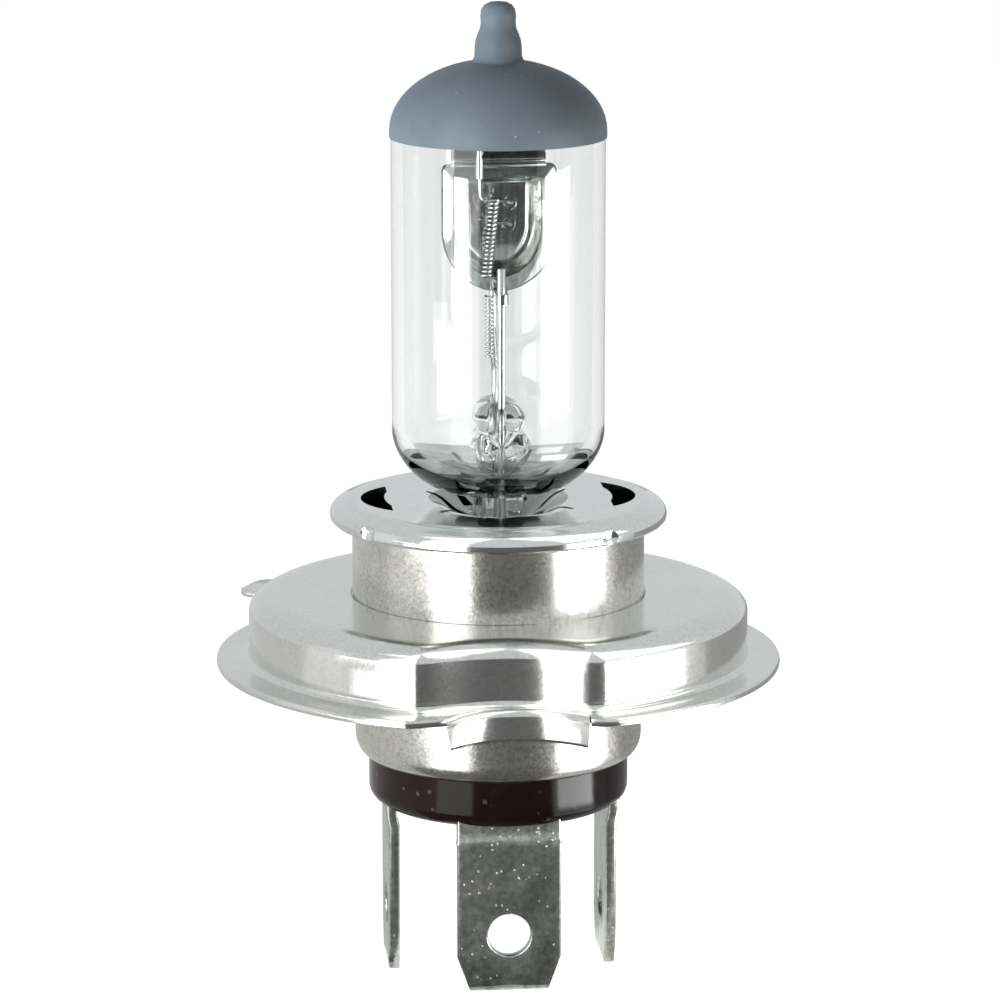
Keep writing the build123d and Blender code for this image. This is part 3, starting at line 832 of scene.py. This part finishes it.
def makeShield():
    s = shield
    top, lip, low = s["top"], s["lipPlane"], s["low"]
    piece = pressScoop()
    floor = max(v.co.y for v in piece.data.vertices) / mm - s["sheet"]
    for x, z in s["dimples"]:
        deselectAll()
        bpy.ops.mesh.primitive_torus_add(major_segments=32, minor_segments=10,
                                         major_radius=s["dimpleRadius"] * mm, minor_radius=s["dimpleRim"] * mm,
                                         location=inMm((x, floor, z)), rotation=(math.radians(90), 0, 0))
        rim = bpy.context.object
        bpy.ops.object.transform_apply(location=True, rotation=True, scale=True)
        piece = join(piece, rim, ball(0.22, (x, floor + 0.02, z), (1, 0.9, 1), 16))
    softenEdges(piece, 0.07, 2, 40)
    for x, z in s["dimples"][2:]:
        bar = drum(0.16, 1.1, (x - 0.6, floor - 0.1, z + 0.12), (0, 90, 0), 16)
        softenEdges(bar, 0.08, 2)
        piece = join(piece, bar)
    # hood: a strip from the upper edge into a roll
    side, long = s["hoodSide"], 2 * s["rollHalf"]
    strip = box((long, 0.5, 0.3), (side, lip - 0.1, top - 0.1))
    softenEdges(strip, 0.05, 2)
    roll = drum(s["rollRadius"], long, (side, lip - 0.3, top + 0.42), (0, 90, 0), 40)
    groove = drum(s["grooveRadius"], long + 1, (side, lip - 1.04, top + 0.3), (0, 90, 0), 16)
    cut(roll, groove)
    softenEdges(roll, 0.05, 2)
    # strap under the scoop that holds it to the front lead, and a foot welded to the lead behind
    strap = box((1.0, 1.9, 0.26), (0, -1.2, low + 0.12))
    softenEdges(strap, 0.06, 2)
    curl = lathe([(0.34, 0), (0.52, 0), (0.52, 0.75), (0.34, 0.75), (0.34, 0)], 24)
    shift(curl, lambda v: True, (0.05, -2.4, low - 0.75))
    face = s["leadFace"]
    pip = box((1.5, face - floor - 0.1, 3.6), (0, (face + floor + 0.1) / 2, s["pipMiddle"]))
    softenEdges(pip, 0.12, 2)
    piece = join(piece, strip, roll, strap, curl, pip)
    settle(piece, 35)
    return finish(piece, "beamShield", "shield_metal", "low_beam_shield", look=shieldLook)


makeShield()
print("shield done")


# filaments: close-wound coils between straight legs
coils = {"low": {"start": (-0.93, -0.4, 29.75), "end": (-0.36, -0.4, 35.5), "turns": 18, "outer": 0.47,
                 "wire": 0.09},
         "high": {"start": (-0.7, -0.4, 23.7), "end": (-0.7, -0.4, 28.3), "turns": 15, "outer": 0.37,
                  "wire": 0.085},
         "leg": 0.09}


def makeCoil(c):
    start, end = Vector(c["start"]), Vector(c["end"])
    length = (end - start).length
    deselectAll()
    bpy.ops.mesh.primitive_circle_add(vertices=10, radius=c["wire"] * mm, rotation=(math.radians(90), 0, 0),
                                      location=((c["outer"] - c["wire"]) * mm, 0, 0))
    piece = bpy.context.object
    bpy.ops.object.transform_apply(location=True, rotation=True, scale=True)
    useModifier(piece, "SCREW", angle=2 * math.pi, screw_offset=length / c["turns"] * mm,
                iterations=c["turns"], steps=18, render_steps=18, use_merge_vertices=True,
                merge_threshold=0.002 * mm)
    only(piece)
    piece.rotation_euler = (end - start).to_track_quat("Z", "Y").to_euler()
    piece.location = start * mm
    bpy.ops.object.transform_apply(location=True, rotation=True, scale=True)
    merge(piece, gap=0.002)
    return piece


def makeFilaments():
    low, high, leg = coils["low"], coils["high"], coils["leg"]
    a, b = Vector(low["start"]), Vector(low["end"])
    coil = makeCoil(low)
    foot = wire([(a.x + 0.34, a.y, a.z), (a.x + 0.42, -0.8, a.z - 0.12), (-0.3, -1.6, 29.55),
                 (-0.12, -2.12, 29.5)], leg)
    head = wire([(b.x + 0.34, b.y, b.z), (b.x - 0.1, -0.75, b.z + 0.1), (-1.2, -2.2, b.z + 0.3),
                 (-1.5, -2.68, b.z + 0.42), (-1.64, -2.75, b.z + 0.7), (-1.65, -2.75, 37.7)], leg)
    piece = join(coil, foot, head)
    settle(piece, 60)
    finish(piece, "lowBeamCoil", "filament_wire", "low_beam_filament", look=filamentLook)
    a, b = Vector(high["start"]), Vector(high["end"])
    coil = makeCoil(high)
    foot = wire([(a.x + 0.31, a.y, a.z), (a.x + 0.5, -0.35, a.z - 0.25), (0.05, -0.1, a.z - 0.5),
                 (0.1, 0, 22.8), (0.1, 0, 21.6)], leg)
    head = wire([(b.x + 0.31, b.y, b.z), (b.x + 0.35, -0.9, b.z + 0.12), (-0.12, -2.12, b.z + 0.2)], leg)
    piece = join(coil, foot, head)
    settle(piece, 60)
    finish(piece, "highBeamCoil", "filament_wire", "high_beam_filament", look=filamentLook)


makeFilaments()
print("filaments done")


# front lead: round rod with a squared end that carries the strap
frontLead = {"radius": 0.3, "low": 8.22, "top": 30.65, "flat": 27.6, "front": -2.4}


def makeFrontLead():
    f = frontLead
    piece = drum(f["radius"], f["top"] - f["low"], (0, f["front"], (f["top"] + f["low"]) / 2), sides=32)
    sliceAt(piece, (0, 0, f["flat"]), (0, 0, 1))
    sliceAt(piece, (0, 0, f["flat"] + 0.5), (0, 0, 1))
    shift(piece, lambda v: v.z > f["flat"] + 0.3, scale=(1.05, 0.8, 1), centre=(0, f["front"], 0))
    softenEdges(piece, 0.05, 2, 50)
    settle(piece, 40)
    return finish(piece, "frontLead", "lead_metal", "shield_rod", look=leadLook)


# glass bead: molten glass bridge that holds the three leads apart
beadGlass = {"voxel": 0.13, "bore": 0.32, "leads": (-2.4, 0, 2.4),
             "lobes": (((-1.05, -1.6, 16.9), (1.25, 1.7, 1.45)), ((1.05, -1.5, 16.9), (1.25, 1.7, 1.45)),
                       ((0, 1.6, 17.0), (2.0, 2.0, 1.5)), ((0, -1.4, 19.1), (1.95, 1.9, 1.35)),
                       ((0, 1.5, 18.9), (1.9, 2.1, 1.5)), ((0, 0, 18.0), (1.6, 3.2, 1.9)))}


def makeBead():
    lumps = [ball(1, place, size, 40) for place, size in beadGlass["lobes"]]
    piece = join(*lumps)
    useModifier(piece, "REMESH", mode="VOXEL", voxel_size=beadGlass["voxel"] * mm)
    useModifier(piece, "SMOOTH", factor=0.5, iterations=3)
    for y in beadGlass["leads"]:
        cut(piece, drum(beadGlass["bore"], 8, (0, y, 18), sides=24))
    settle(piece, 60)
    return finish(piece, "glassBead", "clear_glass", "glass_bead", look=beadLook)


makeFrontLead()
makeBead()
print("lead and bead done")


# looks of the CAD nodes, also of those that a finer piece stands in for
keptLooks = {
    "low_beam_filament": filamentLook, "high_beam_filament": filamentLook, "low_beam_shield": shieldLook,
    "shield_rod": leadLook, "low_beam_lead": leadLook, "low_beam_crimp": leadLook, "high_beam_lead": leadLook,
    "high_beam_crimp": leadLook, "glass_bead": glassLook, "foil_front": foilLook, "foil_middle": foilLook,
    "foil_back": foilLook, "front_wire": leadLook, "left_wire": leadLook, "right_wire": leadLook,
    "holder_cap": capLook, "holder_sleeve": sleeveLook, "mounting_ring": ringLook, "base_shell": shellLook,
    "terminal_carrier": carrierLook, "front_blade": bladeLook, "left_blade": bladeLook,
    "right_blade": bladeLook, "glass_envelope": glassLook, "dome_coating": domeLook,
}
for name, look in keptLooks.items():
    data = nodes[name].data
    data.materials.clear()
    data.materials.append(look)
print("node materials done")


studio = {
    "floor": -23.75, "distance": 327.0, "height": 84.0, "turn": -5.5, "aim": 12.45, "roll": 0.0,
    "slide": 0.0018, "lens": 158.76, "key": 5.4, "fill": 0.02, "top": 0.12, "world": 0.06, "floorGlow": 0.93, "sky": 0.72,
    "floorRadius": 1600, "skyRadius": 1200,
}
# light cards round the object, seen only in reflections:
# from and to (degrees from the camera), near, far, base and height in mm, brightness
cards = (
    (-180, 180, 9, 900, 0, 0, 0.60),  # dims the floor all round
    (-51, -21, 22, 260, 0.3, 420, 2.6),  # tall left
    (46, 87, 22, 260, 0.3, 30, 2.6),  # low right
    (46, 100, 257, 260, 120, 300, 2.2),  # high right
    (-93, -69, 90, 258, 0.3, 190, 0.85),  # far left
    (-20, 45, 9, 400, 0.2, 60, 0.085),  # dark, towards the camera
    (-80, -18, 30, 262, 420, 0, 2.2),  # overhead left
    (38, 105, 30, 262, 420, 0, 2.2),  # overhead right
    (102, 168, 30, 900, 0.15, 0, 0.31),  # dim, behind on the right
    (-64, -48, 84, 114, 0.5, 0, 2.6),  # for the crown's wall
    (50, 85, 46, 74, 0.5, 0, 14),  # for the carrier
    (-47, -31, 172, 256, 0.6, 38, 20),  # left strip in the glass
    (51, 81, 172, 252, 0.6, 38, 24),  # right strip in the glass
    (-73, -55, 212, 250, 0.6, 6, 3.5),  # short strip in the glass
    (-70, -20, 9, 34, 0.5, 0, 0.16),  # dark, for the left blade's edge
)


def makeFloor():
    deselectAll()
    bpy.ops.mesh.primitive_circle_add(vertices=64, radius=studio["floorRadius"] * mm, fill_type="NGON",
                                      location=(0, 0, studio["floor"] * mm))
    floor = bpy.context.object
    floor.name = "floor"
    look = Look("paleFloor", Roughness=0.9, Specular_IOR_Level=0.1, Emission_Color=(1, 1, 1, 1),
                Emission_Strength=studio["floorGlow"])
    haze = look.noise(look.place(), 6.0, 2.0)
    tone = look.ramp(haze, (0.3, (0.58, 0.58, 0.58)), (0.7, (0.62, 0.62, 0.62)))
    floor.data.materials.append(look.feed(Base_Color=tone))


def makeCard(name, start, end, near, far, base, height, glow):
    # sector near the floor that stands up at its outer end; narrow ones are also seen from inside the glass
    deselectAll()
    bpy.ops.mesh.primitive_plane_add(size=mm, location=(0, 0, 0))
    card = bpy.context.object
    edit()
    bpy.ops.mesh.select_all(action="SELECT")
    bpy.ops.mesh.merge(type="CENTER")
    bpy.ops.transform.translate(value=(near * mm, 0, (studio["floor"] + 0.3 + base) * mm))
    bpy.ops.mesh.extrude_region_move(TRANSFORM_OT_translate={"value": ((far - near) * mm, 0, 0)})
    if height:
        bpy.ops.mesh.extrude_region_move(TRANSFORM_OT_translate={"value": (0, 0, height * mm)})
    bpy.ops.mesh.select_all(action="SELECT")
    bpy.ops.mesh.spin(steps=48, angle=math.radians(end - start), center=(0, 0, 0), axis=(0, 0, 1))
    done()
    if end - start < 360:
        lean = math.atan2(sum(v.co.y for v in card.data.vertices), sum(v.co.x for v in card.data.vertices))
        card.rotation_euler.z = math.radians((start + end) / 2 + studio["turn"] - 90) - lean
    settle(card)
    card.name = name
    look = Look(name, Base_Color=(0.02, 0.02, 0.02, 1), Roughness=1.0, Emission_Color=(1, 1, 1, 1),
                Emission_Strength=glow)
    card.data.materials.append(look.material)
    card.visible_camera = card.visible_diffuse = card.visible_shadow = False
    card.visible_transmission = end - start < 360 and abs(start) < 100


def makeSky():
    # large pale shell that the metal and the glass see instead of the dim room
    sky = ball(studio["skyRadius"], (0, 0, 0))
    sliceAt(sky, (0, 0, studio["floor"] - 2), (0, 0, 1), "inner")
    pick(sky, lambda c, n: n.z < -0.99 and abs(c.x) < 5, "FACE")
    bpy.ops.mesh.delete(type="FACE")
    done()
    settle(sky)
    sky.name = "paleSky"
    look = Look("paleSky", Base_Color=(0.02, 0.02, 0.02, 1), Roughness=1.0,
                Emission_Color=(0.95, 0.985, 1, 1), Emission_Strength=studio["sky"])
    sky.data.materials.append(look.material)
    sky.visible_camera = sky.visible_diffuse = sky.visible_shadow = False


def softBox(name, place, aim, size, power, colour=(1, 1, 1)):
    light = bpy.data.lights.new(name, "AREA")
    light.shape = "RECTANGLE"
    light.size, light.size_y = size
    light.energy = power
    light.color = colour
    lamp = bpy.data.objects.new(name, light)
    bpy.context.scene.collection.objects.link(lamp)
    lamp.location = Vector(place)
    lamp.visible_camera = lamp.visible_glossy = False
    lamp.rotation_euler = (Vector(aim) - lamp.location).to_track_quat("-Z", "Y").to_euler()
    return lamp


def makeStudio():
    world = bpy.data.worlds.new("studio")
    bpy.context.scene.world = world
    world.use_nodes = True
    world.node_tree.nodes["Background"].inputs["Color"].default_value = (0.95, 0.98, 1, 1)
    world.node_tree.nodes["Background"].inputs["Strength"].default_value = studio["world"]
    aim = (0, 0, 0.012)
    softBox("leftBox", (-0.46, -0.26, 0.03), aim, (0.12, 0.4), studio["key"])
    softBox("rightBox", (0.42, -0.28, 0.20), aim, (0.16, 0.5), studio["fill"])
    softBox("topBox", (0.0, 0.05, 0.55), aim, (0.5, 0.4), studio["top"])
    makeSky()
    for k, card in enumerate(cards):
        makeCard(f"card{k + 1}", *card)
    bpy.context.scene.view_settings.view_transform = "Standard"
    turn = math.radians(studio["turn"])
    camData = bpy.data.cameras.new("camera")
    cam = bpy.data.objects.new("camera", camData)
    bpy.context.scene.collection.objects.link(cam)
    cam.location = (math.sin(turn) * studio["distance"] * mm, -math.cos(turn) * studio["distance"] * mm,
                    studio["height"] * mm)
    look = Vector((0, 0, studio["aim"] * mm)) - cam.location
    cam.rotation_euler = look.to_track_quat("-Z", "Y").to_euler()
    cam.rotation_euler.rotate_axis("Z", math.radians(studio["roll"]))
    camData.lens = studio["lens"]
    camData.sensor_width = 36
    camData.shift_x = studio["slide"]
    camData.clip_start = 0.01
    camData.clip_end = 10
    bpy.context.scene.camera = cam


makeFloor()
makeStudio()
print("studio done")
